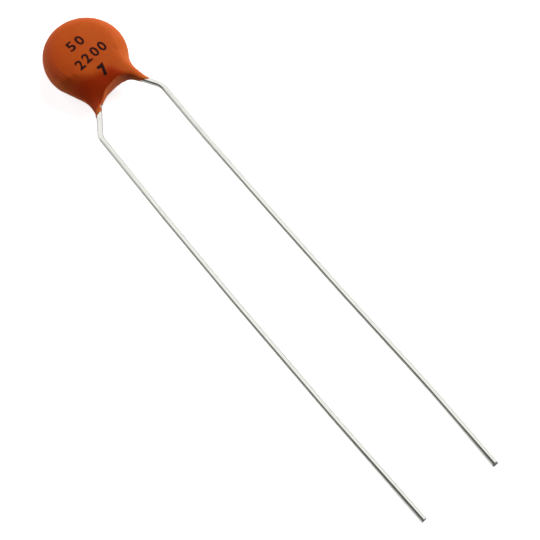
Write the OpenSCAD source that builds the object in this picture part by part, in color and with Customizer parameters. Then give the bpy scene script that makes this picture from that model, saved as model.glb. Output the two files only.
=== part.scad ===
// Radial-lead ceramic disc capacitor, lying on its back face.
// A silvered ceramic disc is clamped between two crossed tinned wires, soldered to them,
// and dipped in a resin coating that runs down each wire in a tapered horn.
// Frame: origin at the middle of the flat back face, +Z up out of the front face,
// leads running towards -Y. Millimetres.

/* [Coated body] */
// Diameter of the coated disc
body_d = 8.9; // [8.6:0.1:9.6]
// Thickness of the coated disc between its flat faces
body_t = 3.4; // [3.2:0.1:4]
// Width of the rounded rim, from the edge to the flat face
rim_w = 1.7; // [1.2:0.1:2]
// Squareness of the rim: 2 is elliptical, more is squarer
rim_power = 2.2; // [2:0.1:3]
// Distance from the centre at which the faces start to slope down to the horns
slope_start = 2.8; // [2.6:0.1:3.2]
// Distance from the centre at which the ridge over a lead has come down to its wire
slope_end = 7; // [6.8:0.1:7.4]

/* [Flanks] */
// Angle below the horizontal at which the left flank leaves the round
left_flank = 22.5; // [20:0.5:28]
// Angle below the horizontal at which the right flank leaves the round
right_flank = 31; // [28:0.5:36]
// Radius of the hollow between the left flank and its horn
left_neck_r = 3; // [2:0.5:4]
// Radius of the hollow between the right flank and its horn
right_neck_r = 2.4; // [1.6:0.2:3]

/* [Web] */
// Depth of the web between the horns, below the disc's centre
web_y = 4.7; // [4.5:0.1:5]
// Fall of the web towards the left horn, in degrees
web_tilt = 6.5; // [0:0.5:12]
// Radius of the hollow where the web turns into the left horn
web_left_r = 3.6; // [2:0.2:4]
// Radius of the hollow where the web turns into the right horn
web_right_r = 1.4; // [1:0.2:2.4]

/* [Ceramic] */
// Diameter of the ceramic disc
ceramic_d = 7; // [6.8:0.1:7.2]
// Thickness of the ceramic disc
ceramic_t = 0.6; // [0.5:0.05:0.7]
// Diameter of each fired silver electrode
electrode_d = 6.2; // [6:0.1:6.6]
// Thickness of each fired silver electrode
electrode_t = 0.02; // [0.01:0.01:0.04]

/* [Solder] */
// Width of each solder fillet across its wire
solder_w = 1.8; // [1.6:0.1:2.2]
// Depth of solder over the wire
solder_cover = 0.08; // [0.06:0.02:0.14]

/* [Leads] */
// Diameter of the tinned wire
wire_d = 0.58; // [0.5:0.02:0.64]
// Distance of the lead tips below the disc's centre
tip_y = 59.8; // [55:0.1:70]
// Spacing of the leads just past their bends
bend_pitch = 8.6; // [8:0.1:9]
// Spacing of the leads at their tips
tip_pitch = 9; // [8.4:0.1:10]

/* [Hidden] */

mid_z = body_t / 2;
body_r = body_d / 2;
wire_r = wire_d / 2;
face_z = ceramic_t / 2 + electrode_t;      // height of an electrode's face above the middle plane
solder_film = 0.03;                        // solder under the wire
wire_z = face_z + solder_film + wire_r;    // height of a soldered wire's axis above the middle plane

// Horns. On each wire the coating thins to a sleeve with a slanting end. The pairs are for a horn's
// outer and inner edges: distances back from the wire's bend at which the sleeve ends and at which
// the horn grows out of it, and the lean of the horn's edge.
left_ends = [2.2, 3.7];
right_ends = [1.5, 2.4];
left_cone = [2.7, 3.8];
right_cone = [2, 3.2];
left_leans = [8, 55];
right_leans = [11.5, 42];
sleeve_skin = 0.04;                        // coating over the wire in a sleeve
sleeve_end = 0.9;                          // where the sleeves are cut from
cone_r = 1.2;                              // rounding where a horn grows out of its sleeve
horn_half_t = 0.36;                        // half thickness of a horn near its end
horn_rim_w = 1.2;                          // width of a horn's rounded outer edge
rim_narrow_y = [1.2, 5.6];                 // depths over which the rim narrows to that
web_rim_w = 0.34;                          // width of the rounded edge along the web
left_shares = [0.7, 0.26];                 // how much of a section its outer and web rims may take
right_shares = [0.54, 0.42];
share_change = 1;                          // distance from the middle at which they are in full

// Slopes. Beyond the flat face the coating falls to the horns, slowly along a ridge over the lead
// that is soldered to that face, and faster in the hollow beside it.
hollow_end = 5.6;                          // distance from the centre at which the hollow's fall ends
slope_onset = 2;                           // depth below the centre over which the slopes set in
slope_straight = 0.3;                      // how straight the slopes are
ridge_shift = 0.4;                         // where the hollow starts, inwards from the lead's line
hollow_w = 1.6;                            // width of the ridge's side
crown = 0.15;                              // fall of the front face from its middle to its edge
crown_r = 3;                               // radius at which that fall is complete

// Lead routes. The right lead is on the ceramic's front face and the left one on its back. Each
// is soldered along a splayed run across the ceramic, drops to the middle plane past its edge,
// leaves its horn, bends parallel to the other and runs on to its tip with the slight bow of
// hand-straightened wire.
bend_shift = -0.06;                        // sideways shift of both bends, and of both tips
tip_shift = 0.16;
left_splay = -34;                          // directions of the soldered runs from -Y towards +X
right_splay = 31.5;
run_end = 10.6;                            // distances back from the bend, along the splayed run
left_drop = [5.9, 2.9];
right_drop = [5.1, 2.2];
left_bend = [bend_shift - bend_pitch / 2, -8.4];
right_bend = [bend_shift + bend_pitch / 2, -7.6];
left_bow = [[-4.6, -19], [-4.7, -31], [-4.62, -46]];
right_bow = [[4.12, -15], [4.2, -26], [4.35, -37], [4.73, -50.5]];
drop_r = 1;
left_bend_r = 1.2;
right_bend_r = 2;
bow_r = 200;
bend_steps = 6;                            // steps of a bend, or two where it turns only slightly
slight = 5;
bend_swell = 0.002;                        // a bend's extra radius, in which the straight wire ends
bend_overlap = 0.01;
solder_reach = 3;                          // radius in which the solder lies on the electrode
solder_tail = 0.4;                         // solder past the wire's end
bell_steps = 12;

coat_red = [0.75, 0.28, 0.09];
ceramic_tan = [0.80, 0.74, 0.62];
silver = [0.82, 0.82, 0.80];
solder_grey = [0.66, 0.67, 0.68];
tinned = [0.80, 0.80, 0.77];

round_fn = 96;
wire_fn = 32;

// Steps of the coating's edges, and the sections of its skin.
cone_steps = 6;
neck_steps = 24;
disc_steps = 180;
leg_share = 0.75;                          // how much of its shorter leg a rounded corner may take
sections = 92;
horn_sections = 9;                         // of them on each horn
horn_run = 2;                              // length of horn that they cover
web_power = 4;                             // how far sections gather at the middle of the web
even_share = 0.3;                          // how far they stay evenly spaced
rim_steps = 5;
face_steps = 12;
face_power = 1.3;                          // crowds the face's points towards the web

// ---- plane geometry ----

function unit(v) = v / norm(v);
function along(a, b, s) = a + (b - a) * s;
function heading(a) = [sin(a), -cos(a)];    // direction a degrees from -Y towards +X
function smooth(s) = let (c = max(0, min(1, s))) c * c * (3 - 2 * c);

// Where the line from p along u meets the line from q along v.
function meet(p, u, q, v) =
    let (w = q - p, cross_uv = u[0] * v[1] - u[1] * v[0])
    p + u * (w[0] * v[1] - w[1] * v[0]) / cross_uv;

// Points of a corner at v, between p and q, rounded to radius r or to what its shorter leg allows.
function corner(p, v, q, r, steps) =
    let (a = unit(p - v), b = unit(q - v),
         half = acos(a * b) / 2,
         r_here = min(r, leg_share * min(norm(p - v), norm(q - v)) * tan(half)),
         centre = v + unit(a + b) * r_here / sin(half),
         start = v + a * r_here / tan(half) - centre,
         turn = sign(a[1] * b[0] - a[0] * b[1]) * (180 - 2 * half),
         from = atan2(start[1], start[0]))
    [for (i = [0:steps])
        centre + r_here * [cos(from + turn * i / steps), sin(from + turn * i / steps)]];

function arc(r, from, to, steps) =
    [for (i = [0:steps]) let (a = from + (to - from) * i / steps) r * [cos(a), sin(a)]];

// Direction of the soldered run on the left (-1) or right (1).
function splay(side) = side < 0 ? left_splay : right_splay;

// A path through points, as its X and Y against the distance along it, and its length.
function track(points) =
    let (n = len(points),
         s = [for (i = 0, s = 0; i < n; i = i + 1, s = i < n ? s + norm(points[i] - points[i - 1]) : s) s])
    [[for (i = [0:n - 1]) [s[i], points[i][0]]], [for (i = [0:n - 1]) [s[i], points[i][1]]], s[n - 1]];

// The point at a distance along a track, and the unit normal on its right there.
function at(path, s) = [lookup(s, path[0]), lookup(s, path[1])];
function right_of(path, s) =
    let (reach = 0.1, t = unit(at(path, s + reach) - at(path, s - reach))) [t[1], -t[0]];

// ---- coating ----

// A point beside a splayed wire: a distance back from its bend, and out on its outer side.
function beside(bend, side, back, out) =
    let (d = heading(splay(side))) bend - d * back + side * out * [-d[1], d[0]];

// The sleeve's end and the horn's start on a wire's outer (1) or inner (-1) edge.
function sleeve(bend, side, back, edge) =
    [for (s = [sleeve_end, back]) beside(bend, side, s, edge * (wire_r + sleeve_skin))];

left_out = sleeve(left_bend, -1, left_cone[0], 1);
left_in = sleeve(left_bend, -1, left_cone[1], -1);
right_out = sleeve(right_bend, 1, right_cone[0], 1);
right_in = sleeve(right_bend, 1, right_cone[1], -1);

// The coating's edge from the left sleeve's outer side round the disc to the right sleeve's.
function outer_edge() =
    let (left_start = body_r * [-cos(left_flank), -sin(left_flank)],
         right_end = body_r * [cos(right_flank), -sin(right_flank)],
         left_neck = meet(left_start, heading(left_flank), left_out[1], heading(-left_leans[0])),
         right_neck = meet(right_end, heading(-right_flank), right_out[1], heading(right_leans[0])))
    concat([left_out[0]],
           corner(left_out[0], left_out[1], left_neck, cone_r, cone_steps),
           corner(left_out[1], left_neck, left_start, left_neck_r, neck_steps),
           arc(body_r, 180 + left_flank, -right_flank, disc_steps),
           corner(right_end, right_neck, right_out[1], right_neck_r, neck_steps),
           corner(right_neck, right_out[1], right_out[0], cone_r, cone_steps),
           [right_out[0]]);

// The edge from the left sleeve's inner side along the web to the right sleeve's.
function web_edge() =
    let (low = [0, -web_y],
         fall_line = [cos(web_tilt), sin(web_tilt)],
         web_left = meet(left_in[1], heading(-left_leans[1]), low, fall_line),
         web_right = meet(right_in[1], heading(right_leans[1]), low, fall_line))
    concat([left_in[0]],
           corner(left_in[0], left_in[1], web_left, cone_r, cone_steps),
           corner(left_in[1], web_left, web_right, web_left_r, neck_steps),
           corner(web_left, web_right, right_in[1], web_right_r, neck_steps),
           corner(web_right, right_in[1], right_in[0], cone_r, cone_steps),
           [right_in[0]]);

// Share of the way down the slope from a flat face to the horns, for a slope with a given end.
function fallen(p, end) =
    let (c = (norm(p) * smooth(-p[1] / slope_onset) - slope_start) / (end - slope_start))
    slope_straight * max(0, min(1, c)) + (1 - slope_straight) * smooth(c);

// Distance of a point inwards from the line of the left (-1) or right (1) lead's splayed run.
function inwards(p, side) =
    let (d = heading(splay(side))) ((side < 0 ? left_bend : right_bend) - p) * (side * [-d[1], d[0]]);

// Height of the front (1) or back (-1) face over the middle plane at a point.
function crest(p, face) =
    let (hollow = smooth((inwards(p, face) - ridge_shift) / hollow_w),
         fall = (1 - hollow) * fallen(p, slope_end) + hollow * fallen(p, hollow_end),
         flat = body_t / 2 - (face < 0 ? 0 : crown * pow(min(1, norm(p) / crown_r), 2)))
    flat + (horn_half_t - flat) * fall;

// Width of the rounded rim at a point of the outer edge.
function rim_width(p) =
    rim_w + (horn_rim_w - rim_w)
        * smooth((-p[1] - rim_narrow_y[0]) / (rim_narrow_y[1] - rim_narrow_y[0]));

// A point of a rounded rim, an angle a up from the edge point p towards the inner point q.
function rim_point(p, q, a, face) =
    let (r = along(q, p, pow(cos(a), 2 / rim_power)))
    [r[0], r[1], face * crest(r, face) * pow(sin(a), 2 / rim_power)];

// One face of a section, from the edge point p over a rim that ends at p_in, the face, and a rim
// from q_in to the web's point q.
function profile(p, p_in, q_in, q, face) =
    concat([for (j = [0:rim_steps]) rim_point(p, p_in, 90 * j / rim_steps, face)],
           [for (j = [1:face_steps - 1])
               let (r = along(q_in, p_in, pow(1 - j / face_steps, face_power)))
               [r[0], r[1], face * crest(r, face)]],
           [for (j = [rim_steps:-1:0]) rim_point(q, q_in, 90 * j / rim_steps, face)]);

// A section of the coating from the edge point p to the web's point q, with inward normals u and v.
function section(p, q, u, v) =
    let (most = norm(q - p) * along(left_shares, right_shares, smooth((p[0] / share_change + 1) / 2)),
         p_in = p + u * min(rim_width(p), most[0]),
         q_in = q + v * min(web_rim_w, most[1]),
         front = profile(p, p_in, q_in, q, 1),
         back = profile(p, p_in, q_in, q, -1))
    concat(front, [for (j = [len(back) - 2:-1:1]) back[j]]);

// Distance along an edge of a given length for section k: even steps on each horn, and between
// them steps that are shorter in the middle, the more so the higher the power.
function section_at(k, length, power) =
    let (between = sections - 2 * horn_sections,
         t = 2 * (k - horn_sections) / between - 1,
         share = (even_share * t + (1 - even_share) * sign(t) * pow(abs(t), power) + 1) / 2)
    k < horn_sections ? horn_run * k / horn_sections
    : k > sections - horn_sections ? length - horn_run * (sections - k) / horn_sections
    : horn_run + (length - 2 * horn_run) * share;

// The outer skin: sections swept from the left sleeve's end round the disc to the right sleeve's.
module coat_skin() {
    outer = track(outer_edge());
    web = track(web_edge());
    rings = [for (k = [0:sections])
        let (a = section_at(k, outer[2], 1), b = section_at(k, web[2], web_power))
        section(at(outer, a), at(web, b), right_of(outer, a), -right_of(web, b))];
    n = len(rings[0]);
    sides = [for (k = [0:sections - 1], i = [0:n - 1])
        let (j = (i + 1) % n, a = k * n + i, b = k * n + j, c = a + n, d = b + n)
        each k < sections / 2 ? [[a, c, d], [a, d, b]] : [[a, c, b], [b, c, d]]];
    ends = [[for (i = [0:n - 1]) i], [for (i = [n - 1:-1:0]) sections * n + i]];
    translate([0, 0, mid_z])
    polyhedron([for (ring = rings) each ring], concat(sides, ends), convexity = 6);
}

// What is cut from a sleeve to leave its slanting end.
module sleeve_trim(bend, side, ends) {
    across = wire_r + 2 * sleeve_skin;
    linear_extrude(body_t)
    polygon([beside(bend, side, ends[0], across), beside(bend, side, ends[1], -across),
             beside(bend, side, 0, -across), beside(bend, side, 0, across)]);
}

module coating() {
    color(coat_red)
    difference() {
        coat_skin();
        sleeve_trim(left_bend, -1, left_ends);
        sleeve_trim(right_bend, 1, right_ends);
        ceramic_disc();
        front_electrode();
        back_electrode();
        solder_fillet(-1);
        solder_fillet(1);
        left_lead();
        right_lead();
    }
}

// ---- ceramic element ----

module ceramic_disc() {
    color(ceramic_tan)
    translate([0, 0, mid_z - ceramic_t / 2])
    cylinder(d = ceramic_d, h = ceramic_t, $fn = round_fn);
}

module electrode(z) {
    color(silver)
    translate([0, 0, z])
    cylinder(d = electrode_d, h = electrode_t, $fn = round_fn);
}

module front_electrode() electrode(mid_z + ceramic_t / 2);
module back_electrode() electrode(mid_z - ceramic_t / 2 - electrode_t);

// ---- leads ----

// A straight stretch of wire from a in the direction d, its facets squared to u.
module rod(a, d, u, length) {
    w = cross(d, u);
    multmatrix([for (i = [0:2]) [u[i], w[i], d[i], a[i]]])
    cylinder(d = wire_d, h = length, $fn = wire_fn);
}

// A bend of radius r at v, from direction d to direction e, its facets squared to u.
module elbow(v, d, e, u, r) {
    turn = acos(d * e);
    n = unit(e - d * (d * e));
    z = cross(d, n);
    centre = v - d * r * tan(turn / 2) + n * r;
    multmatrix([for (i = [0:2]) [-n[i], d[i], z[i], centre[i]]])
    rotate_extrude(angle = turn, $fn = ceil((turn > slight ? bend_steps : 2) * 360 / turn))
    translate([r, 0])
    rotate(atan2(u * z, -(u * n)))
    circle(r = wire_r + bend_swell, $fn = wire_fn);
}

// The vector u carried round a bend from direction d to direction e.
function carried(u, d, e) = u - (d + e) * (u * e) / (1 + d * e);

// The facet directions of every stretch, each carried on from the one before.
function carried_on(dirs, u, i = 0) =
    i == len(dirs) - 1 ? [u] : concat([u], carried_on(dirs, carried(u, dirs[i], dirs[i + 1]), i + 1));

// A wire along a route of points, with a bend radius for each point between its ends.
// Each straight stretch runs a little way into the bends beside it, so that they join.
module bent_wire(route, radii) {
    last = len(route) - 1;
    dirs = [for (i = [0:last - 1]) unit(route[i + 1] - route[i])];
    squares = carried_on(dirs, unit(cross(dirs[0], [0, 0, 1])));
    trims = [for (i = [0:last])
        i == 0 || i == last ? 0 : radii[i - 1] * tan(acos(dirs[i - 1] * dirs[i]) / 2) - bend_overlap];
    for (i = [0:last - 1])
        rod(route[i] + dirs[i] * trims[i], dirs[i], squares[i],
            norm(route[i + 1] - route[i]) - trims[i] - trims[i + 1]);
    for (i = [1:last - 1])
        elbow(route[i], dirs[i - 1], dirs[i], squares[i - 1], radii[i - 1]);
}

// A point s back from the bend along a splayed run, at height z over the middle plane.
function run_point(bend, side, s, z) =
    let (p = bend - heading(splay(side)) * s) [p[0], p[1], mid_z + z];

// The soldered run of a lead, from its end on the ceramic's face to its main bend.
function soldered_run(bend, side, drop) =
    [run_point(bend, side, run_end, side * wire_z),
     run_point(bend, side, drop[0], side * wire_z),
     run_point(bend, side, drop[1], 0),
     run_point(bend, side, 0, 0)];

// Height of a lead's axis at depth y, as it falls from its bend to rest on its tip.
function fall(p, bend) =
    let (s = (p[1] - bend[1]) / (-tip_y - bend[1])) [p[0], p[1], mid_z + (wire_r - mid_z) * s];

// The long run of a lead past its bend, through the points of its bow to its tip.
function long_run(bend, side, bow) =
    [for (p = concat(bow, [[tip_shift + side * tip_pitch / 2, -tip_y]])) fall(p, bend)];

module left_lead() {
    color(tinned)
    bent_wire(
        concat(soldered_run(left_bend, -1, left_drop), long_run(left_bend, -1, left_bow)),
        concat([drop_r, drop_r, left_bend_r], [for (b = left_bow) bow_r]));
}

module right_lead() {
    color(tinned)
    bent_wire(
        concat(soldered_run(right_bend, 1, right_drop), long_run(right_bend, 1, right_bow)),
        concat([drop_r, drop_r, right_bend_r], [for (b = right_bow) bow_r]));
}

// ---- solder ----

// A fillet's section: a bell over the wire that thins out onto the electrode.
function bell() =
    let (h = solder_film + wire_d + solder_cover, w = solder_w / 2)
    concat([[-w, 0], [w, 0]],
           [for (i = [bell_steps - 1:-1:1 - bell_steps])
               let (x = w * i / bell_steps) [x, h * (1 + cos(180 * x / w)) / 2]]);

// Solder along a lead's run on its electrode, for the left (-1) or right (1) lead.
module solder_fillet(side) {
    bend = side < 0 ? left_bend : right_bend;
    translate([0, 0, mid_z + side * face_z])
    rotate([0, side < 0 ? 180 : 0, 0])
    intersection() {
        cylinder(r = solder_reach, h = body_t, $fn = round_fn);
        translate([side * bend[0], bend[1], 0])
        rotate([90, 0, 180 + side * splay(side)])
        linear_extrude(run_end + solder_tail)
        polygon(bell());
    }
}

module front_solder() { color(solder_grey) difference() { solder_fillet(1); right_lead(); } }
module back_solder() { color(solder_grey) difference() { solder_fillet(-1); left_lead(); } }

coating();
ceramic_disc();
front_electrode();
back_electrode();
front_solder();
back_solder();
left_lead();
right_lead();
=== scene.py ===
"""Ceramic disc capacitor lying on its back face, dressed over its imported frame.

Lengths in the classes are millimetres. Each piece is worked on at a bench where one unit is a
millimetre, which suits the remesher and the noise, and is set down in metres when it is finished.
"""

import logging
import math
from collections.abc import Callable, Iterator, Sequence
from contextlib import contextmanager
from dataclasses import dataclass
from enum import Enum
from typing import Any

import bmesh
import bpy
from mathutils import Matrix, Vector, noise
from mathutils.bvhtree import BVHTree
from mathutils.kdtree import KDTree


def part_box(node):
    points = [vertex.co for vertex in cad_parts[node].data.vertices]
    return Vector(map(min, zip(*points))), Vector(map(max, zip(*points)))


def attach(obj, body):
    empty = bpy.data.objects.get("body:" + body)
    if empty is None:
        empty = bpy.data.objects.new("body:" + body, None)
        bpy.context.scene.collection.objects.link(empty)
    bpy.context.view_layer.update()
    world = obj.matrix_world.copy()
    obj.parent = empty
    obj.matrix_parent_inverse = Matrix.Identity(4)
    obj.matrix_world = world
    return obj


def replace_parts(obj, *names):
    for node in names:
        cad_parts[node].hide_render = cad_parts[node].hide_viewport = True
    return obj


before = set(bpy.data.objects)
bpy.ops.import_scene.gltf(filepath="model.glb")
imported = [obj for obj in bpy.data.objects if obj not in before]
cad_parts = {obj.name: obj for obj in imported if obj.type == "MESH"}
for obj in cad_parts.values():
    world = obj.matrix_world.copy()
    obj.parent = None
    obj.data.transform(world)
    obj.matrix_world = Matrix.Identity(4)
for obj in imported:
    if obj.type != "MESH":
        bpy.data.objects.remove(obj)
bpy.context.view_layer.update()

MM = 0.001
ROOT = "root"
Colour = tuple[float, float, float]
Place = tuple[float, float, float]
Span = tuple[float, float]

log = logging.getLogger("capacitor")


# ---- measures ----


def smooth(low: float, high: float, x: float) -> float:
    """A smooth step from 0 at low to 1 at high.

    Args:
        low: Where the step starts.
        high: Where it ends; it may lie below low.
        x: Where it is read.

    Returns:
        The step's height at x.
    """
    share = max(0.0, min(1.0, (x - low) / (high - low)))
    return share * share * (3 - 2 * share)


def between(stops: Sequence[Span], x: float) -> float:
    """The value at x of the line that joins some stops.

    Args:
        stops: Pairs of place and value, in rising order of place.
        x: Where the line is read.

    Returns:
        The value at x, which stays level past the first and the last stop.
    """
    if x <= stops[0][0]:
        return stops[0][1]
    for (a, low), (b, high) in zip(stops, stops[1:]):
        if x <= b:
            return low + (high - low) * (x - a) / (b - a)
    return stops[-1][1]


def heading(angle: float) -> Vector:
    """The level direction that many degrees from -Y towards +X."""
    return Vector((math.sin(math.radians(angle)), -math.cos(math.radians(angle)), 0))


# ---- the bench ----


class Bench:
    """One mesh piece under work, at one unit to the millimetre."""

    weld = 0.0005

    def __init__(self, piece: bpy.types.Object, name: str) -> None:
        """Takes a piece onto the bench.

        Args:
            piece: The object to work on.
            name: The name that it gets.
        """
        self.piece = piece
        piece.name = name
        piece.data.name = name

    @staticmethod
    def clear() -> None:
        """Deselects everything, so that an operator acts only on what is picked next."""
        if bpy.context.object is not None and bpy.context.object.mode != "OBJECT":
            bpy.ops.object.mode_set(mode="OBJECT")
        bpy.ops.object.select_all(action="DESELECT")

    @classmethod
    def start(cls, name: str, add: Callable[..., Any], **settings: Any) -> "Bench":
        """Adds a primitive as the start of a piece.

        Args:
            name: The piece's name.
            add: The operator that adds the primitive.
            **settings: The operator's own settings.

        Returns:
            The bench with the primitive on it.
        """
        cls.clear()
        add(**settings)
        bench = cls(bpy.context.object, name)
        bench.pick()
        bpy.ops.object.transform_apply(location=True, rotation=True, scale=True)
        return bench

    @classmethod
    def copy_of(cls, nodes: Sequence[str], name: str) -> "Bench":
        """Copies the merged meshes of some nodes of the frame.

        Args:
            nodes: The nodes' names.
            name: The name of the copy.

        Returns:
            The bench with the copy on it.
        """
        cls.clear()
        copies = []
        for node in nodes:
            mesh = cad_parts[node].data.copy()
            mesh.materials.clear()
            mesh.transform(Matrix.Scale(1 / MM, 4))
            copies.append(bpy.data.objects.new(name, mesh))
            bpy.context.collection.objects.link(copies[-1])
            copies[-1].select_set(True)
        bpy.context.view_layer.objects.active = copies[0]
        if len(copies) > 1:
            bpy.ops.object.join()
        bench = cls(copies[0], name)
        with bench.edit():
            bpy.ops.mesh.select_all(action="SELECT")
            bpy.ops.mesh.remove_doubles(threshold=cls.weld)
        return bench

    def pick(self) -> None:
        """Selects this piece alone and makes it active."""
        self.clear()
        self.piece.select_set(True)
        bpy.context.view_layer.objects.active = self.piece

    @contextmanager
    def edit(self) -> Iterator[None]:
        """Edit mode on this piece's faces, for the operators inside the block."""
        self.pick()
        bpy.ops.object.mode_set(mode="EDIT")
        bpy.ops.mesh.select_mode(type="FACE")
        try:
            yield
        finally:
            bpy.ops.object.mode_set(mode="OBJECT")

    def select_faces(self, wanted: Callable[[bmesh.types.BMFace], bool]) -> int:
        """Selects the faces that pass a test, in edit mode.

        Args:
            wanted: The test.

        Returns:
            How many faces are selected.
        """
        bpy.ops.mesh.select_all(action="DESELECT")
        shape = bmesh.from_edit_mesh(self.piece.data)
        found = [face for face in shape.faces if wanted(face)]
        for face in found:
            face.select_set(True)
        bmesh.update_edit_mesh(self.piece.data)
        return len(found)

    def modify(self, kind: str, **settings: Any) -> None:
        """Adds a modifier and applies it.

        Args:
            kind: The modifier's type.
            **settings: Its settings.
        """
        self.pick()
        modifier = self.piece.modifiers.new(kind.lower(), kind)
        for name, value in settings.items():
            setattr(modifier, name, value)
        bpy.ops.object.modifier_apply(modifier=modifier.name)

    def take_in(self, others: Sequence["Bench"]) -> None:
        """Joins other benches' pieces into this one.

        Args:
            others: The benches whose pieces are joined in.
        """
        self.pick()
        for other in others:
            other.piece.select_set(True)
        bpy.ops.object.join()

    def face_outwards(self) -> None:
        """Turns every face outwards."""
        with self.edit():
            bpy.ops.mesh.select_all(action="SELECT")
            bpy.ops.mesh.normals_make_consistent(inside=False)

    def tree(self) -> BVHTree:
        """Makes a search tree.

        Returns:
            The tree of the piece's faces.
        """
        mesh = self.piece.data
        return BVHTree.FromPolygons(
            [v.co for v in mesh.vertices], [list(p.vertices) for p in mesh.polygons]
        )

    def move(self, place: Callable[[Vector, Vector], Vector]) -> None:
        """Moves each point of the mesh.

        Args:
            place: Gives a point's new place from its place and normal.
        """
        mesh = self.piece.data
        moved = [place(v.co.copy(), v.normal.copy()) for v in mesh.vertices]
        for vertex, co in zip(mesh.vertices, moved):
            vertex.co = co
        mesh.update()

    def mark(self, name: str, value: Callable[[Vector, Vector], float]) -> None:
        """Stores a number at each point of the mesh.

        Args:
            name: The attribute's name.
            value: Gives the number from a point's place and normal.
        """
        mesh = self.piece.data
        attribute = mesh.attributes.new(name, "FLOAT", "POINT")
        attribute.data.foreach_set("value", [value(v.co, v.normal) for v in mesh.vertices])

    def set_down(self, material: bpy.types.Material, slot: str, angle: float) -> bpy.types.Object:
        """Brings the finished piece to its real size, shades and dresses it.

        Args:
            material: The piece's finish.
            slot: The slot that the finish belongs to; it is not used.
            angle: Edges sharper than this many degrees stay sharp.

        Returns:
            The finished piece.
        """
        self.piece.data.transform(Matrix.Scale(MM, 4))
        self.pick()
        bpy.ops.object.shade_smooth_by_angle(angle=math.radians(angle))
        self.piece.data.materials.clear()
        self.piece.data.materials.append(material)
        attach(self.piece, ROOT)
        self.clear()
        mesh = self.piece.data
        log.info("%s: %d points, %d faces", self.piece.name, len(mesh.vertices), len(mesh.polygons))
        return self.piece


# ---- shader maths ----


class Value:
    """A shader number, on which arithmetic adds Math nodes."""

    def __init__(self, shader: "Shader", socket: bpy.types.NodeSocket) -> None:
        """Wraps an output.

        Args:
            shader: The shader that the output belongs to.
            socket: The output.
        """
        self.shader = shader
        self.socket = socket

    def _math(self, operation: str, a: "Value | float", b: "Value | float") -> "Value":
        """Adds a Math node.

        Args:
            operation: The node's operation.
            a: Its first value.
            b: Its second value.

        Returns:
            The node's result.
        """
        node = self.shader.node("ShaderNodeMath", {0: a, 1: b}, operation=operation)
        return Value(self.shader, node.outputs[0])

    def __add__(self, other: "Value | float") -> "Value":
        """The sum."""
        return self._math("ADD", self, other)

    def __radd__(self, other: float) -> "Value":
        """The sum, from the right."""
        return self._math("ADD", other, self)

    def __sub__(self, other: "Value | float") -> "Value":
        """The difference."""
        return self._math("SUBTRACT", self, other)

    def __rsub__(self, other: float) -> "Value":
        """The difference, from the right."""
        return self._math("SUBTRACT", other, self)

    def __mul__(self, other: "Value | float") -> "Value":
        """The product."""
        return self._math("MULTIPLY", self, other)

    def __rmul__(self, other: float) -> "Value":
        """The product, from the right."""
        return self._math("MULTIPLY", other, self)

    def greatest(self, other: "Value | float") -> "Value":
        """The greater of the two."""
        return self._math("MAXIMUM", self, other)

    def step(self, low: float, high: float) -> "Value":
        """A smooth step of this number from 0 at low to 1 at high.

        Args:
            low: Where the step starts.
            high: Where it ends; it may lie below low.

        Returns:
            The step.
        """
        start, end, to_start, to_end = (low, high, 0, 1) if low < high else (high, low, 1, 0)
        node = self.shader.node(
            "ShaderNodeMapRange",
            {"Value": self, "From Min": start, "From Max": end, "To Min": to_start, "To Max": to_end},
            interpolation_type="SMOOTHSTEP",
        )
        return Value(self.shader, node.outputs[0])


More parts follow.
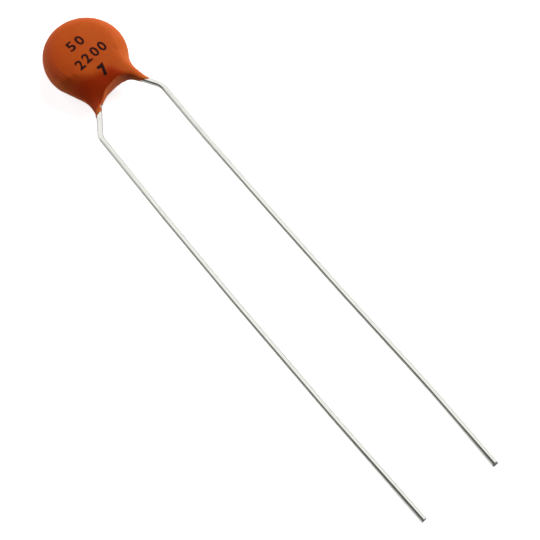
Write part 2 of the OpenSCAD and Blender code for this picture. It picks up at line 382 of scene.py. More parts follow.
class Shader:
    """The nodes of one material or world."""

    def __init__(self, owner: bpy.types.Material | bpy.types.World) -> None:
        """Starts with no nodes.

        Args:
            owner: The material or world.
        """
        owner.use_nodes = True
        self.owner = owner
        self.tree = owner.node_tree
        self.tree.nodes.clear()

    @classmethod
    def named(cls, name: str) -> "Shader":
        """The shader of a new material of that name."""
        return cls(bpy.data.materials.new(name))

    def node(self, kind: str, inputs: dict[Any, Any] | None = None, **settings: Any) -> bpy.types.Node:
        """Adds any node.

        Args:
            kind: The node's type.
            inputs: The values or links of its sockets, by name, identifier or number.
            **settings: Its settings, which are set first.

        Returns:
            The node.
        """
        made = self.tree.nodes.new(kind)
        for name, value in settings.items():
            setattr(made, name, value)
        for key, value in (inputs or {}).items():
            socket = made.inputs[key] if isinstance(key, int) else next(
                s for s in made.inputs if s.enabled and key in (s.identifier, s.name)
            )
            if isinstance(value, Value):
                value = value.socket
            if isinstance(value, bpy.types.NodeSocket):
                self.tree.links.new(value, socket)
            elif socket.type == "RGBA":
                socket.default_value = (*value, 1)
            else:
                socket.default_value = value
        return made

    def place(self, scale: Place = (1, 1, 1)) -> bpy.types.NodeSocket:
        """The point on the piece, in millimetres, stretched along the axes.

        Args:
            scale: The stretch along each axis.

        Returns:
            The point's socket.
        """
        at = self.node("ShaderNodeTexCoord").outputs["Object"]
        size = [s / MM for s in scale]
        return self.node("ShaderNodeMapping", {"Vector": at, "Scale": size}).outputs[0]

    def noise(self, scale: float, detail: float, stretch: Place = (1, 1, 1)) -> Value:
        """Cloudy noise.

        Args:
            scale: Features per millimetre.
            detail: Octaves of finer noise.
            stretch: The stretch of the pattern along each axis.

        Returns:
            The noise, from 0 to 1 and mostly near a half.
        """
        node = self.node(
            "ShaderNodeTexNoise", {"Vector": self.place(stretch), "Scale": scale, "Detail": detail}
        )
        return Value(self, node.outputs[0])

    def cells(self, scale: float) -> Value:
        """The distance to the nearest of some scattered points.

        Args:
            scale: Points per millimetre.

        Returns:
            The distance, 0 at a point.
        """
        node = self.node("ShaderNodeTexVoronoi", {"Vector": self.place(), "Scale": scale})
        return Value(self, node.outputs["Distance"])

    def stored(self, name: str) -> Value:
        """The number that the mesh stores under a name."""
        return Value(self, self.node("ShaderNodeAttribute", attribute_name=name).outputs["Fac"])

    def axis(self, index: int) -> Value:
        """The point's place along one axis, in millimetres."""
        return Value(self, self.node("ShaderNodeSeparateXYZ", {0: self.place()}).outputs[index])

    def mix(self, share: Value | float, a: Any, b: Any) -> bpy.types.NodeSocket:
        """Mixes two colours.

        Args:
            share: The second colour's share.
            a: The first colour, or a socket.
            b: The second.

        Returns:
            The mixed colour's socket.
        """
        inputs = {"Factor_Float": share, "A_Color": a, "B_Color": b}
        return self.node("ShaderNodeMix", inputs, data_type="RGBA").outputs["Result"]

    def bump(self, height: Value, distance: float, strength: float) -> bpy.types.NodeSocket:
        """Turns a height into a bumped normal.

        Args:
            height: The height, from 0 to 1.
            distance: What a height of 1 stands for, in millimetres.
            strength: How much of the bump is shown.

        Returns:
            The normal's socket.
        """
        inputs = {"Height": height, "Distance": distance * MM, "Strength": strength}
        return self.node("ShaderNodeBump", inputs).outputs[0]

    def surface(self, **inputs: Any) -> bpy.types.Material:
        """Ends the material in a Principled surface.

        Args:
            **inputs: The surface's sockets, with _ for each space.

        Returns:
            The material.
        """
        named = {key.replace("_", " "): value for key, value in inputs.items()}
        bsdf = self.node("ShaderNodeBsdfPrincipled", named)
        self.node("ShaderNodeOutputMaterial", {"Surface": bsdf.outputs[0]})
        return self.owner


# ---- finishes ----


@dataclass(frozen=True)
class ResinFinish:
    """Dipped and baked resin: satin, with a soft orange peel.

    It is lighter where it runs thinly over the wires. It has painted light, lighter to the right, on
    the rim and as bounce light under the web's narrow edge, and painted shade, darker to the left,
    below the ceramic and on the web's lower side.

    Attributes:
        body: The colour over the ceramic.
        deep_and_shaded: The darker colour of its random clouds and specks, and of painted shade.
        deepest_shade: The painted shade's colour low on the web.
        thin_and_lit: The colour of its grain and where it runs thinly, and of painted light.
        bounce_light: The painted bounce light under the web's edge.
        lit_side: The places along X between which painted light turns it lighter, and its share.
        shaded_side: The same for painted shade that turns it darker to the left.
        shade_deepening: The places along Y between which the painted shade turns darkest.
        rim_light_share: The share of painted light on the rim's steep sides.
        film_share: Its share over the wires.
        roughness: The mean roughness.
        peel: The depth of the peel, in millimetres.
    """

    body: Colour = (0.51, 0.077, 0.005)
    deep_and_shaded: Colour = (0.42, 0.029, 0.001)
    deepest_shade: Colour = (0.31, 0.026, 0.001)
    thin_and_lit: Colour = (0.61, 0.155, 0.026)
    bounce_light: Colour = (0.80, 0.155, 0.035)
    lit_side: tuple[Span, float] = ((-3.0, 3.5), 0.24)
    shaded_side: tuple[Span, float] = ((-1.0, -4.2), 0.28)
    shade_deepening: Span = (-4.1, -5.1)
    rim_light_share: float = 0.35
    film_share: float = 0.8
    roughness: float = 0.50
    peel: float = 0.018

    def material(self) -> bpy.types.Material:
        """Makes the finish.

        Returns:
            Its material.
        """
        s = Shader.named("dipped_resin")
        cloud, grain, specks = s.noise(0.55, 3), s.noise(7, 3), s.cells(2.2)
        (lit_side, lit_share), (shaded_side, shade_share) = self.lit_side, self.shaded_side
        # Painted light and shade: lighter towards +X, where the key lamp is, and darker towards -X.
        colour = s.mix(s.axis(0).step(*lit_side) * lit_share, self.body, self.thin_and_lit)
        colour = s.mix(s.axis(0).step(*shaded_side) * shade_share, colour, self.deep_and_shaded)
        colour = s.mix(cloud.step(0.7, 0.3) * 0.25, colour, self.deep_and_shaded)
        colour = s.mix(grain.step(0.55, 0.8) * 0.2, colour, self.thin_and_lit)
        # Painted shade below the ceramic, turned from the key lamp, and on the web's lower side,
        # darkest low on the web.
        shade_colour = s.mix(s.axis(1).step(*self.shade_deepening), self.deep_and_shaded, self.deepest_shade)
        colour = s.mix(s.stored("painted_shade") * (0.75 + cloud * 0.4), colour, shade_colour)
        # Painted light on the rim's steep sides.
        colour = s.mix(s.stored("rim") * self.rim_light_share, colour, self.thin_and_lit)
        # Painted bounce light under the web's edge.
        colour = s.mix(s.stored("web"), colour, self.bounce_light)
        colour = s.mix((1 - s.stored("film")) * self.film_share, colour, self.thin_and_lit)
        colour = s.mix(specks.step(0.09, 0.04) * 0.5, colour, self.deep_and_shaded)
        rough = self.roughness + (grain - 0.5) * 0.16 + (cloud - 0.5) * 0.1
        height = s.noise(1.6, 2) * 0.7 + grain * 0.3 - specks.step(0.12, 0.0) * 0.25
        return s.surface(
            Base_Color=colour, Roughness=rough, Specular_IOR_Level=0.2,
            Normal=s.bump(height, self.peel, 0.6),
        )


@dataclass(frozen=True)
class InkFinish:
    """Stamped ink: dark in the middle of a stroke, worn to the resin's colour at its edges."""

    ink: Colour = (0.018, 0.005, 0.005)
    under: Colour = (0.42, 0.060, 0.005)

    def material(self) -> bpy.types.Material:
        """Makes the finish.

        Returns:
            Its material.
        """
        s = Shader.named("stamped_ink")
        patchy, fine = s.noise(5, 3), s.noise(16, 2)
        cover = s.stored("pile") + (patchy - 0.5) * 1.1 + (fine - 0.5) * 0.7
        share = cover.step(0.0, 0.5)
        return s.surface(
            Base_Color=s.mix(share, self.under, self.ink), Roughness=0.5 + share * 0.1,
            Specular_IOR_Level=0.1, Normal=s.bump(fine, 0.01, 0.4),
        )


@dataclass(frozen=True)
class TinFinish:
    """Hot-tinned wire: bright, with drawn streaks along it and slight smears.

    It is frosted past its bend, brighter towards its tip, and bare and dull on its cut end.

    Attributes:
        tin: The colour of the clean tin.
        dull: Its colour where it is smeared.
        bare: The colour of the cut end.
        roughness: The mean roughness of the bright tin.
        frosting: How much rougher the frosted stretch is.
        frosted: The places along Y between which the frosting sets in, from the tip's side.
        bent: The places between which it sets in, from the bend's side.
        cut: The places between which the bare end begins.
        cut_roughness: How much rougher that end is.
    """

    tin: Colour = (0.85, 0.85, 0.80)
    dull: Colour = (0.66, 0.65, 0.60)
    bare: Colour = (0.34, 0.33, 0.31)
    roughness: float = 0.11
    frosting: float = 0.22
    frosted: Span = (-26, -10)
    bent: Span = (-7.4, -8.8)
    cut: Span = (-59.70, -59.76)
    cut_roughness: float = 0.4

    def material(self) -> bpy.types.Material:
        """Makes the finish.

        Returns:
            Its material.
        """
        s = Shader.named("tinned_wire")
        streaks, smears = s.noise(9, 3, (1, 0.06, 1)), s.noise(1.4, 3)
        along = s.axis(1)
        frost = along.step(*self.frosted) * along.step(*self.bent) * self.frosting
        end = along.step(*self.cut)
        worn = smears.step(0.5, 0.85) * 0.5 + streaks.step(0.55, 0.9) * 0.4
        rough = self.roughness + frost + (streaks - 0.5) * 0.15 + smears.step(0.5, 0.8) * 0.08
        return s.surface(
            Base_Color=s.mix(end, s.mix(worn, self.tin, self.dull), self.bare), Metallic=1.0,
            Roughness=rough + end * self.cut_roughness,
            Normal=s.bump(streaks * 0.6 + smears * 0.4, 0.006, 0.5),
        )


@dataclass(frozen=True)
class CeramicFinish:
    """Fired ceramic: matt, tan, finely speckled."""

    body: Colour = (0.60, 0.48, 0.31)
    speck: Colour = (0.38, 0.28, 0.17)

    def material(self) -> bpy.types.Material:
        """Makes the finish.

        Returns:
            Its material.
        """
        s = Shader.named("fired_ceramic")
        grain, cloud = s.noise(12, 4), s.noise(0.8, 2)
        return s.surface(
            Base_Color=s.mix(grain.step(0.55, 0.75) * 0.7 + cloud * 0.2, self.body, self.speck),
            Roughness=0.72 + (grain - 0.5) * 0.2, Normal=s.bump(grain, 0.015, 0.6),
        )


@dataclass(frozen=True)
class SilverFinish:
    """Screened and fired silver: pale, matt, faintly wrinkled."""

    silver: Colour = (0.80, 0.79, 0.76)
    tarnish: Colour = (0.58, 0.54, 0.46)

    def material(self) -> bpy.types.Material:
        """Makes the finish.

        Returns:
            Its material.
        """
        s = Shader.named("fired_silver")
        weave, cloud = s.noise(8, 3), s.noise(0.7, 3)
        return s.surface(
            Base_Color=s.mix(cloud.step(0.5, 0.8), self.silver, self.tarnish), Metallic=1.0,
            Roughness=0.5 + (weave - 0.5) * 0.25, Normal=s.bump(weave, 0.006, 0.6),
        )


@dataclass(frozen=True)
class SolderFinish:
    """Dipped solder: bright grey, rippled, duller where flux stayed."""

    bright: Colour = (0.72, 0.72, 0.73)
    flux: Colour = (0.42, 0.38, 0.30)

    def material(self) -> bpy.types.Material:
        """Makes the finish.

        Returns:
            Its material.
        """
        s = Shader.named("dipped_solder")
        ripple, flux = s.noise(2.2, 3), s.noise(1.1, 4)
        return s.surface(
            Base_Color=s.mix(flux.step(0.55, 0.75) * 0.6, self.bright, self.flux), Metallic=1.0,
            Roughness=0.28 + flux.step(0.5, 0.8) * 0.3, Normal=s.bump(ripple, 0.04, 0.6),
        )


# ---- leads ----


class Side(Enum):
    """Which of the two leads, with its sign along X."""

    LEFT = -1
    RIGHT = 1


@dataclass
class Lead:
    """A lead: soldered along a splayed run, dropped to the middle plane, bent and laid down.

    The leads repeat the routes of the frame's solids, with rounder wire, true bends and a cut tip.

    Attributes:
        side: Which lead it is.
        bend: The bend's place in the plan.
        splay: The soldered run's direction, in degrees from -Y towards +X.
        drop: The distances back from the bend between which the wire drops.
        bow: Places in the plan through which the free stretch bows.
        tip_x: Where the wire ends along X.
        bend_radius: The bend's radius at the wire's axis.
        tip_lean: How far the cut leans along X.
        mid_z: The height of the body's middle plane.
        wire_d: The wire's width.
        run_end: How far back from the bend the wire begins.
        wire_z: The soldered run's distance from the middle plane.
        tip_y: How far along -Y the wire ends.
        drop_radius: The radius of the two bends of the drop.
        bow_radius: The radius of the bow's slight bends.
        turn_step: The most that one step of a bend turns, in degrees.
        sides: The wire's sides.
        tip_tilt: How far the cut tilts along Z.
        burr: The width of the broken edge round the cut.
    """

    side: Side
    bend: Span
    splay: float
    drop: Span
    bow: Sequence[Span]
    tip_x: float
    bend_radius: float
    tip_lean: float
    mid_z: float
    wire_d: float = 0.62
    run_end: float = 10.6
    wire_z: float = 0.64
    tip_y: float = 59.8
    drop_radius: float = 1.0
    bow_radius: float = 200.0
    turn_step: float = 3.0
    sides: int = 32
    tip_tilt: float = 0.06
    burr: float = 0.035

    @property
    def name(self) -> str:
        """The frame's name of this lead."""
        return f"{self.side.name.lower()}_lead"

    @property
    def wire_r(self) -> float:
        """The wire's radius."""
        return self.wire_d / 2

    def back(self, s: float) -> Vector:
        """The wire's axis on the splayed run.

        Args:
            s: The distance back from the bend.

        Returns:
            The point on the axis.
        """
        high, low = self.drop
        level = Vector((*self.bend, 0)) - heading(self.splay) * s
        lift = self.side.value * self.wire_z * max(0.0, min(1.0, (s - low) / (high - low)))
        return Vector((level.x, level.y, self.mid_z + lift))

    def inwards(self, p: Vector) -> float:
        """A point's distance inwards from the line of the splayed run."""
        way = heading(self.splay)
        return (Vector((*self.bend, 0)) - p).dot(Vector((-way.y, way.x, 0))) * self.side.value

    def route(self) -> list[Vector]:
        """The wire's route.

        Returns:
            The points at which the wire turns, with its two ends.
        """
        run = [self.back(s) for s in (self.run_end, self.drop[0], self.drop[1], 0)]
        fall = []
        for x, y in [*self.bow, (self.tip_x, -self.tip_y)]:
            share = (y - self.bend[1]) / (-self.tip_y - self.bend[1])
            fall.append(Vector((x, y, self.mid_z + (self.wire_r - self.mid_z) * share)))
        return run + fall

    def build(self, finish: bpy.types.Material) -> None:
        """Forms the wire and dresses it.

        Args:
            finish: The tinned finish.
        """
        route = self.route()
        ways = [(b - a).normalized() for a, b in zip(route, route[1:])]
        radii = [self.drop_radius] * 2 + [self.bend_radius] + [self.bow_radius] * len(self.bow)
        turns = [math.acos(max(-1.0, min(1.0, d.dot(e)))) for d, e in zip(ways, ways[1:])]
        trims = [0.0, *(r * math.tan(t / 2) for r, t in zip(radii, turns)), 0.0]
        bench = Bench.start(
            "tinned_" + self.name, bpy.ops.mesh.primitive_circle_add, vertices=self.sides,
            radius=self.wire_r, fill_type="NGON", location=route[0],
            rotation=ways[0].to_track_quat("Z", "Y").to_euler(),
        )
        with bench.edit():
            bpy.ops.mesh.select_all(action="SELECT")
            for i, way in enumerate(ways):
                length = (route[i + 1] - route[i]).length - trims[i] - trims[i + 1]
                bpy.ops.mesh.extrude_region_move(TRANSFORM_OT_translate={"value": way * length})
                if i < len(turns):
                    self._bend(route[i + 1] - way * trims[i + 1], way, ways[i + 1], radii[i], turns[i])
            self._cut_tip(route[-1], ways[-1])
        bench.face_outwards()
        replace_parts(bench.set_down(finish, "tinned_wire", 30), self.name)

    def _bend(self, start: Vector, way: Vector, to: Vector, radius: float, turn: float) -> None:
        """Spins the wire's open face round a bend.

        Args:
            start: The wire's axis where the bend starts.
            way: The direction there.
            to: The direction after the bend.
            radius: The bend's radius.
            turn: Its angle.
        """
        inwards = (to - way * way.dot(to)).normalized()
        steps = max(2, math.ceil(math.degrees(turn) / self.turn_step))
        bpy.ops.mesh.spin(
            steps=steps, angle=-turn, center=start + inwards * radius, axis=way.cross(inwards)
        )

    def _cut_tip(self, tip: Vector, way: Vector) -> None:
        """Cuts the wire's end a little off square and breaks its edge.

        Args:
            tip: The wire's axis at its end.
            way: The direction there.
        """
        cut = (way + Vector((self.tip_lean, 0, self.tip_tilt))).normalized()
        bpy.ops.mesh.select_all(action="SELECT")
        bpy.ops.mesh.bisect(plane_co=tip, plane_no=cut, use_fill=True, clear_outer=True)
        bpy.ops.mesh.bevel(offset=self.burr, segments=2, affect="EDGES")


# ---- coating ----


@dataclass
class Horn:
    """The coating's end on one lead.

    Attributes:
        lead: The lead that it ends on.
        stops: How far back from the bend the lip lies, at angles that go from the wire's inner
            side, at 0 degrees, over its top to its outer side, at 180.
        chips: Small bites out of the lip, each with its place, its angle and its radius.
        skin: The coat's thickness round the wire.
        thinnest: The share of it that is left at the lip.
        tube: The distances back from the bend between which the wire gets its coat.
        ragged: How far the lip strays.
        ragged_scale: How many times it strays in a millimetre.
        ragged_from: Where its noise is read from.
        feather: How far in from the lip the coat is full.
        sink: How deep in the wire the surface lies where the coat has stopped.
        reach: The distance from the wire's axis within which the coat is shaped.
        root: The distance back from the bend within which it is.
        filled: The thicknesses between which its colour turns from thin to full.
    """

    lead: Lead
    stops: Sequence[Span]
    chips: Sequence[Place] = ()
    skin: float = 0.035
    thinnest: float = 0.6
    tube: Span = (1.25, 4.5)
    ragged: float = 0.12
    ragged_scale: float = 2.6
    ragged_from: Place = (3, 7, 1)
    feather: float = 0.22
    sink: float = 0.07
    reach: float = 1.1
    root: float = 5.2
    filled: Span = (0.0, 0.2)

    def sleeve(self) -> Bench:
        """Models the thin coat round the wire.

        Returns:
            The bench with a tube that goes from short of the lip to inside the horn.
        """
        near, far = self.lead.back(self.tube[0]), self.lead.back(self.tube[1])
        way = far - near
        bench = Bench.start(
            "sleeve", bpy.ops.mesh.primitive_circle_add, vertices=self.lead.sides,
            radius=self.lead.wire_r + self.skin, fill_type="NGON", location=near,
            rotation=way.to_track_quat("Z", "Y").to_euler(),
        )
        with bench.edit():
            bpy.ops.mesh.select_all(action="SELECT")
            stops = [self.tube[0], self.lead.drop[1], self.tube[1]]
            for a, b in zip(stops, stops[1:]):
                step = self.lead.back(b) - self.lead.back(a)
                bpy.ops.mesh.extrude_region_move(TRANSFORM_OT_translate={"value": step})
        bench.face_outwards()
        return bench

    def polar(self, p: Vector) -> tuple[float, float, float, Vector]:
        """A point's place about the wire.

        Args:
            p: The point.

        Returns:
            The distance back from the bend, the distance from the axis, the angle round it in
            degrees from its inner side, and the direction out from the axis.
        """
        way = heading(self.lead.splay)
        s = (Vector((*self.lead.bend, 0)) - Vector((p.x, p.y, 0))).dot(way)
        out = p - self.lead.back(s)
        outer = Vector((-way.y, way.x, 0)) * self.lead.side.value
        angle = math.degrees(math.atan2(abs(out.z), -out.dot(outer)))
        return s, out.length, angle, out.normalized()

    def shaped(self, p: Vector) -> Vector:
        """A point of the coat, thinned to a rounded, ragged lip and sunk into the wire past it.

        Args:
            p: The point.

        Returns:
            Its new place.
        """
        s, r, angle, out = self.polar(p)
        if r > self.reach or not 0 <= s <= self.root:
            return p
        wire = self.lead.wire_r
        stray = noise.noise(p * self.ragged_scale + Vector(self.ragged_from))
        lip = between(self.stops, angle) + self.ragged * stray
        depth = s - lip
        for place, turn, size in self.chips:
            depth = min(depth, math.hypot(s - place, wire * math.radians(angle - turn)) - size)
        if r < wire - self.sink and depth <= 0:
            return p
        thickness = self.thinnest + (1 - self.thinnest) * smooth(0, self.feather, depth)
        full = max(r, wire + self.skin * thickness)
        edge = math.sqrt(1 - (1 - min(1.0, max(0.0, depth / self.feather))) ** 2)
        return p + out * (wire - self.sink + (full - wire + self.sink) * edge - r)

    def film(self, p: Vector) -> float:
        """How full the coat is at a point.

        Args:
            p: The point.

        Returns:
            The fullness, from 0 at the wire to 1 where the coat is thick.
        """
        s, r, _, _ = self.polar(p)
        if r > self.reach or s > self.root:
            return 1.0
        return smooth(*self.filled, r - self.lead.wire_r)


@dataclass
class DippedCoating:
    """The resin coat: the frame's coating with its thin, uneven ends on the wires.

    Attributes:
        horns: The coat's two ends.
        inside: The nodes that lie in the coat's pocket.
        pocket_gap: How close to them its walls lie.
        pocket_turn: How squarely a wall faces them, from -1, which is squarely.
        voxel: The remesher's voxel.
        rounds: How often the remeshed skin is smoothed.
        swell: The height of the dip's unevenness.
        waves: How many of its coarse and of its fine waves go to a millimetre.
        waves_from: Where the fine waves' noise is read from.
        brim: How far the coat grows sideways, as smoothing draws it in.
        lower_edge: The same along the web's lower side, at places along X.
        below_y: The places along Y between which the web's lower side sets in.
        below_turn: The shares of a turn towards -Y between which it does.
        below_side: How much a turn towards -X counts among them.
        rim_turn: The upward shares of the normal between which the rim's painted light sets in.
        bounce_x: The places along X between which the lower side's painted bounce light sets in.
        shade_x: The places along X between which its shade sets in.
        shade_r: The distances from the middle between which the painted shade sets in.
        shade_depth: The distances along -Y between which it does.
        shade_in: The distances inwards from the ridge between which it does.
        shade_turn: The shares of a turn towards +X, where the key lamp is, between which it does.
        shade_face: The upward shares of the normal between which it does.
    """

    horns: Sequence[Horn]
    inside: Sequence[str]
    pocket_gap: float = 0.05
    pocket_turn: float = -0.4
    voxel: float = 0.06
    rounds: int = 18
    swell: float = 0.014
    waves: Span = (0.75, 1.7)
    waves_from: Place = (9, 2, 4)
    brim: float = 0.07
    lower_edge: Sequence[Span] = (
        (-2.4, 0.07), (-1.4, 0.06), (-0.7, -0.01), (0.6, -0.03), (1.2, 0.05), (1.6, 0.14),
        (2.2, 0.11), (2.7, 0.03), (3.1, 0.0),
    )
    below_y: Span = (-3.9, -4.5)
    below_turn: Span = (0.6, 0.9)
    below_side: float = 0.6
    rim_turn: Span = (0.9, 0.3)
    bounce_x: Span = (2.0, 0.6)
    shade_x: Span = (1.0, 2.0)
    shade_r: Span = (2.5, 3.6)
    shade_depth: Span = (1.1, 3.3)
    shade_in: Span = (0.0, 0.7)
    shade_turn: Span = (0.4, 0.15)
    shade_face: Span = (0.3, 0.75)

    def build(self, finish: bpy.types.Material) -> BVHTree:
        """Models the coat and dresses it.

        Args:
            finish: The resin finish.

        Returns:
            A search tree of its faces in millimetres.
        """
        bench = Bench.copy_of(["coating"], "dipped_coating")
        self._empty(bench)
        bench.take_in([horn.sleeve() for horn in self.horns])
        bench.modify("REMESH", mode="VOXEL", voxel_size=self.voxel)
        bench.modify("SMOOTH", factor=0.5, iterations=self.rounds)
        bench.move(self._settled)
        bench.mark("film", lambda p, _: min(horn.film(p) for horn in self.horns))
        # Mask of painted shade below the ceramic and on the web's lower side.
        bench.mark("painted_shade", self._shaded)
        # Mask of painted light on the rim.
        bench.mark("rim", lambda _, normal: smooth(*self.rim_turn, abs(normal.z)))
        # Mask of painted bounce light under the web's edge.
        bench.mark("web", lambda p, normal: self._below(p, normal) * smooth(*self.bounce_x, p.x))
        tree = bench.tree()
        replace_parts(bench.set_down(finish, "coating", 60), "coating")
        return tree

    def _empty(self, bench: Bench) -> None:
        """Takes out the walls of the pocket that holds the element and the wires.

        Args:
            bench: The bench with the copied coat.
        """
        core = Bench.copy_of(self.inside, "core")
        tree = core.tree()
        bpy.data.objects.remove(core.piece)

        def pocket(face: bmesh.types.BMFace) -> bool:
            """Whether a face lies on the element or a wire and faces it."""
            _, normal, _, gap = tree.find_nearest(face.calc_center_median())
            return gap < self.pocket_gap and normal.dot(face.normal) < self.pocket_turn

        with bench.edit():
            count = bench.select_faces(pocket)
            bpy.ops.mesh.delete(type="FACE")
            bpy.ops.mesh.select_mode(type="EDGE")
            bpy.ops.mesh.select_all(action="SELECT")
            bpy.ops.mesh.fill_holes(sides=0)
        log.info("pocket walls taken out: %d", count)

    def _settled(self, p: Vector, normal: Vector) -> Vector:
        """A point of the coat with the dip's slight unevenness and its lips.

        Args:
            p: The point.
            normal: The surface's normal there.

        Returns:
            Its new place.
        """
        coarse, fine = self.waves
        wave = noise.noise(p * coarse) + 0.5 * noise.noise(p * fine + Vector(self.waves_from))
        level = self.brim + (between(self.lower_edge, p.x) - self.brim) * self._below(p, normal)
        p = p + normal * self.swell * wave + Vector((normal.x, normal.y, 0)) * level
        for horn in self.horns:
            p = horn.shaped(p)
        p.z = max(p.z, 0.0)
        return p

    def _below(self, p: Vector, normal: Vector) -> float:
        """How far a point lies on the web's lower side, from 0 to 1."""
        down = max(0.0, -normal.x) * self.below_side - normal.y
        return smooth(*self.below_y, p.y) * smooth(*self.below_turn, down)

    def _shaded(self, p: Vector, normal: Vector) -> float:
        """How much painted shade lies on a point: below the ceramic, between the two wires' ridges.

        Args:
            p: The point.
            normal: The surface's normal there.

        Returns:
            The painted shade's share, from 0 to 1.
        """
        below = smooth(*self.shade_r, math.hypot(p.x, p.y)) * smooth(*self.shade_depth, -p.y)
        above = 1 if p.z > self.horns[0].lead.mid_z else -1
        ridge = next(horn for horn in self.horns if horn.lead.side.value == above)
        beside = smooth(*self.shade_in, ridge.lead.inwards(p)) * smooth(*self.shade_turn, normal.x)
        painted_shade = below * beside * smooth(*self.shade_face, abs(normal.z))
        # Painted shade on the web's lower side, towards +X.
        return max(painted_shade, self._below(p, normal) * smooth(*self.shade_x, p.x))


# ---- marking ----


@dataclass(frozen=True)
class Figure:
    """One stamped figure: its digit, its middle, its size, and how much bolder its strokes are."""

    digit: str
    x: float
    y: float
    height: float = 1.24
    width: float = 0.84
    weight: float = 0.045


@dataclass
class Marking:
    """Plain stamped numbers on the front face, climbing slightly, in a thin film of ink.

    Attributes:
        figures: The figures.
        lean: How steeply the rows climb, in degrees.
        film: The ink's full thickness.
        thinnest: The share of it that is left at a stroke's edge.
        soft_edge: How far in from that edge the ink is full.
        sunk: How deep in the coat the ink's underside lies.
        spread: How far a stroke's edge strays.
        spread_scale: How many times it strays in a millimetre.
        blank: Half the thickness of a figure before it is laid on the coat.
        seam: How close points are that are welded.
        voxel: The remesher's voxel.
        rounds: How often a remeshed figure is smoothed.
        side: The greatest upward share of the normal on a stroke's side.
        above: A height clear above the coat.
    """

    figures: Sequence[Figure]
    lean: float = 6.5
    film: float = 0.012
    thinnest: float = 0.35
    soft_edge: float = 0.09
    sunk: float = 0.03
    spread: float = 0.03
    spread_scale: float = 5
    blank: float = 0.12
    seam: float = 0.001
    voxel: float = 0.04
    rounds: int = 4
    side: float = 0.6
    above: float = 10

    def build(self, coat: BVHTree, finish: bpy.types.Material) -> None:
        """Models the ink and dresses it.

        Args:
            coat: The coat's faces in millimetres, on which the ink lies.
            finish: The ink finish.
        """
        stamped = [self._figure(figure, coat) for figure in self.figures]
        stamped[0].take_in(stamped[1:])
        Bench(stamped[0].piece, "stamped_numbers").set_down(finish, "coating", 60)

    def _figure(self, figure: Figure, coat: BVHTree) -> Bench:
        """One figure's ink.

        Args:
            figure: The figure.
            coat: The coat's faces.

        Returns:
            The bench with the draped ink.
        """
        Bench.clear()
        bpy.ops.object.text_add()
        text = bpy.context.object
        text.data.body = figure.digit
        text.data.extrude = self.blank
        text.data.offset = figure.weight
        bpy.ops.object.convert(target="MESH")
        bench = Bench(bpy.context.object, "figure")
        low = Vector([min(v.co[i] for v in bench.piece.data.vertices) for i in range(3)])
        high = Vector([max(v.co[i] for v in bench.piece.data.vertices) for i in range(3)])
        middle, size = (low + high) / 2, high - low
        bench.piece.data.transform(
            Matrix.Translation((figure.x, figure.y, 0))
            @ Matrix.Rotation(math.radians(self.lean), 4, "Z")
            @ Matrix.Diagonal((figure.width / size.x, figure.height / size.y, 1, 1))
            @ Matrix.Translation(-middle)
        )
        with bench.edit():
            bpy.ops.mesh.select_all(action="SELECT")
            bpy.ops.mesh.remove_doubles(threshold=self.seam)
        bench.modify("REMESH", mode="VOXEL", voxel_size=self.voxel)
        bench.modify("SMOOTH", factor=0.5, iterations=self.rounds)
        rim = [v.co.copy() for v in bench.piece.data.vertices if abs(v.normal.z) < self.side]
        edges = KDTree(len(rim))
        for i, co in enumerate(rim):
            edges.insert((co.x, co.y, 0), i)
        edges.balance()

        def pile(p: Vector) -> float:
            """How far a point is from the stroke's edge, as a share of the ink's full depth."""
            return smooth(0.0, self.soft_edge, edges.find((p.x, p.y, 0))[2])

        def draped(p: Vector, normal: Vector) -> Vector:
            """Lays a point of the ink on the coat.

            Args:
                p: The point.
                normal: The figure's normal there.

            Returns:
                Its new place.
            """
            spread = noise.noise(Vector((p.x, p.y, 0)) * self.spread_scale) * self.spread
            x, y = p.x + normal.x * spread, p.y + normal.y * spread
            hit = coat.ray_cast(Vector((x, y, self.above)), Vector((0, 0, -1)))[0]
            full = self.film * (self.thinnest + (1 - self.thinnest) * pile(p))
            return Vector((x, y, hit.z + (full if p.z > 0 else -self.sunk)))

        bench.mark("pile", lambda p, _: pile(p) if p.z > 0 else 0.0)
        bench.move(draped)
        return bench


# ---- element ----


@dataclass
class Element:
    """The silvered ceramic and its solder, which keep the frame's solids and get their finishes."""

    finishes: dict[str, bpy.types.Material]

    def build(self) -> None:
        """Dresses the frame's inner solids."""
        for node, material in self.finishes.items():
            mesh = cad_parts[node].data
            mesh.materials.clear()
            mesh.materials.append(material)
            log.info("%s: dressed", node)


# ---- studio ----


@dataclass(frozen=True)
class Lamp:
    """A soft, distant lamp: where it shines from, its strength and how wide it is, in degrees.

    Reflections show the sky in its place.
    """

    name: str
    azimuth: float
    elevation: float
    strength: float
    width: float

    def hang(self) -> None:
        """Adds the lamp."""
        az, el = math.radians(self.azimuth), math.radians(self.elevation)
        way = Vector((math.cos(az) * math.cos(el), math.sin(az) * math.cos(el), math.sin(el)))
        lamp = bpy.data.lights.new(self.name, "SUN")
        lamp.energy, lamp.angle = self.strength * math.pi, math.radians(self.width)
        hung = bpy.data.objects.new(self.name, lamp)
        hung.location = way
        hung.rotation_euler = way.to_track_quat("Z", "Y").to_euler()
        hung.visible_glossy = False
        bpy.context.collection.objects.link(hung)


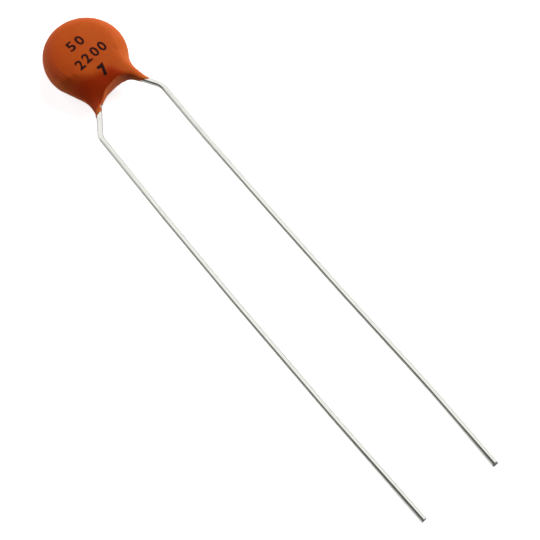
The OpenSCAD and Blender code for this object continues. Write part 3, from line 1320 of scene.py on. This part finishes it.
@dataclass
class Studio:
    """The camera, the pale floor, and plain soft light that comes low from the right.

    Attributes:
        target: The point that the camera looks at.
        azimuth: The camera's turn about it, in degrees from -Y towards +X.
        elevation: Its height above it, in degrees.
        distance: Its distance from it.
        lens: Its focal length.
        sensor: The width of its sensor.
        clip: The nearest and the farthest that it sees, in metres.
        lamps: The lamps.
        sky: The strength of the light from all round.
        floor_r: The floor's radius, in metres.
        floor: The floor's colour.
        whitening: What whitens the floor to the camera.
        mirrored: What whitens it in reflections.
        dark_side: The sky's strength in reflections, on its dark side.
        dark_towards: That side's direction, in degrees from -Y towards +X.
        dark_from: The shares of that direction between which the dark sets in.
    """

    target: Place = (-0.006, -30.76, 1.711)
    azimuth: float = -38.8
    elevation: float = 68.0
    distance: float = 200.0
    lens: float = 133.33
    sensor: float = 36
    clip: Span = (0.005, 50)
    lamps: Sequence[Lamp] = (Lamp("key", 14, 26, 1.28, 60), Lamp("fill", 126, 19, 0.46, 70))
    sky: float = 0.075
    floor_r: float = 3
    floor: Colour = (0.80, 0.80, 0.79)
    whitening: float = 0.78
    mirrored: float = 0.05
    dark_side: float = 0.11
    dark_towards: float = -40.0
    dark_from: Span = (0.10, 0.30)

    def build(self) -> None:
        """Sets the camera, the floor, the lamps and the world."""
        self._camera()
        self._floor()
        for lamp in self.lamps:
            lamp.hang()
        self._world()
        bpy.context.scene.view_settings.view_transform = "Standard"

    def _camera(self) -> None:
        """Places the camera."""
        az, el = math.radians(self.azimuth), math.radians(self.elevation)
        back = Vector((math.sin(az) * math.cos(el), -math.cos(az) * math.cos(el), math.sin(el)))
        camera = bpy.data.cameras.new("camera")
        camera.lens, camera.sensor_width = self.lens, self.sensor
        camera.clip_start, camera.clip_end = self.clip
        placed = bpy.data.objects.new("camera", camera)
        placed.location = (Vector(self.target) + back * self.distance) * MM
        placed.rotation_euler = back.to_track_quat("Z", "Y").to_euler()
        bpy.context.collection.objects.link(placed)
        bpy.context.scene.camera = placed

    def _floor(self) -> None:
        """Lays the floor: pale under the lamps, and whitened to the camera and in reflections."""
        bench = Bench.start(
            "floor", bpy.ops.mesh.primitive_circle_add, vertices=64, radius=self.floor_r,
            fill_type="NGON",
        )
        s = Shader.named("pale_floor")
        rays = s.node("ShaderNodeLightPath").outputs
        mirror = Value(s, rays["Is Glossy Ray"]).greatest(Value(s, rays["Is Transmission Ray"]))
        bounce_light = Value(s, rays["Is Camera Ray"]) * self.whitening + mirror * self.mirrored
        diffuse = s.node("ShaderNodeBsdfDiffuse", {"Color": self.floor})
        white = s.node("ShaderNodeEmission", {"Color": (1, 1, 1), "Strength": bounce_light})
        both = s.node("ShaderNodeAddShader", {0: diffuse.outputs[0], 1: white.outputs[0]})
        s.node("ShaderNodeOutputMaterial", {"Surface": both.outputs[0]})
        bench.piece.data.materials.append(s.owner)

    def _world(self) -> None:
        """Makes a dim sky, white to the camera, and in reflections white but for one dark side."""
        world = bpy.data.worlds.new("studio")
        bpy.context.scene.world = world
        s = Shader(world)
        rays = s.node("ShaderNodeLightPath").outputs
        way = s.node("ShaderNodeTexCoord").outputs["Generated"]
        x, y = (Value(s, out) for out in s.node("ShaderNodeSeparateXYZ", {0: way}).outputs[:2])
        dark = heading(self.dark_towards)
        mirror = Value(s, rays["Is Glossy Ray"]).greatest(Value(s, rays["Is Transmission Ray"]))
        white = 1 - (x * dark.x + y * dark.y).step(*self.dark_from) * (1 - self.dark_side)
        strength = Value(s, rays["Is Camera Ray"]).greatest(mirror * white).greatest(self.sky)
        sky = s.node("ShaderNodeBackground", {"Color": (1, 1, 1), "Strength": strength})
        s.node("ShaderNodeOutputWorld", {"Surface": sky.outputs[0]})


def main() -> None:
    """Builds the capacitor and its studio."""
    logging.basicConfig(level=logging.INFO, format="%(name)s: %(message)s")
    Studio().build()
    mid_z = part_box("coating")[1].z / MM / 2
    left = Lead(
        Side.LEFT, bend=(-4.36, -8.4), splay=-34, drop=(5.9, 2.9),
        bow=[(-4.6, -19), (-4.7, -31), (-4.62, -46)],
        tip_x=-4.34, bend_radius=1.2, tip_lean=0.05, mid_z=mid_z,
    )
    right = Lead(
        Side.RIGHT, bend=(4.24, -7.6), splay=31.5, drop=(5.1, 2.2),
        bow=[(4.12, -15), (4.2, -26), (4.35, -37), (4.73, -50.5)],
        tip_x=4.66, bend_radius=2.0, tip_lean=-0.04, mid_z=mid_z, tip_y=59.92,
    )
    tin = TinFinish().material()
    for lead in (left, right):
        lead.build(tin)
    horns = [
        Horn(
            left, [(0, 3.5), (20, 3.35), (36, 2.95), (60, 2.75), (90, 2.6), (140, 2.3), (180, 2.2)],
            chips=[(3.5, 14, 0.24)],
        ),
        Horn(right, [(0, 2.4), (60, 1.9), (100, 1.45), (140, 1.45), (180, 1.75)]),
    ]
    inside = [
        "ceramic_disc", "front_electrode", "back_electrode", "front_solder", "back_solder",
        "left_lead", "right_lead",
    ]
    coat = DippedCoating(horns, inside).build(ResinFinish().material())
    Marking([
        Figure("5", -0.86, 1.15), Figure("0", 0.26, 1.20),
        Figure("2", -1.4, -1.14), Figure("2", -0.41, -0.95),
        Figure("0", 0.69, -0.83), Figure("0", 1.68, -0.78),
        Figure("7", 0.26, -3.0, height=1.36, width=0.98, weight=0.08),
    ]).build(coat, InkFinish().material())
    silver, solder = SilverFinish().material(), SolderFinish().material()
    Element({
        "ceramic_disc": CeramicFinish().material(), "front_electrode": silver,
        "back_electrode": silver, "front_solder": solder, "back_solder": solder,
    }).build()


if __name__ == "__main__":
    main()
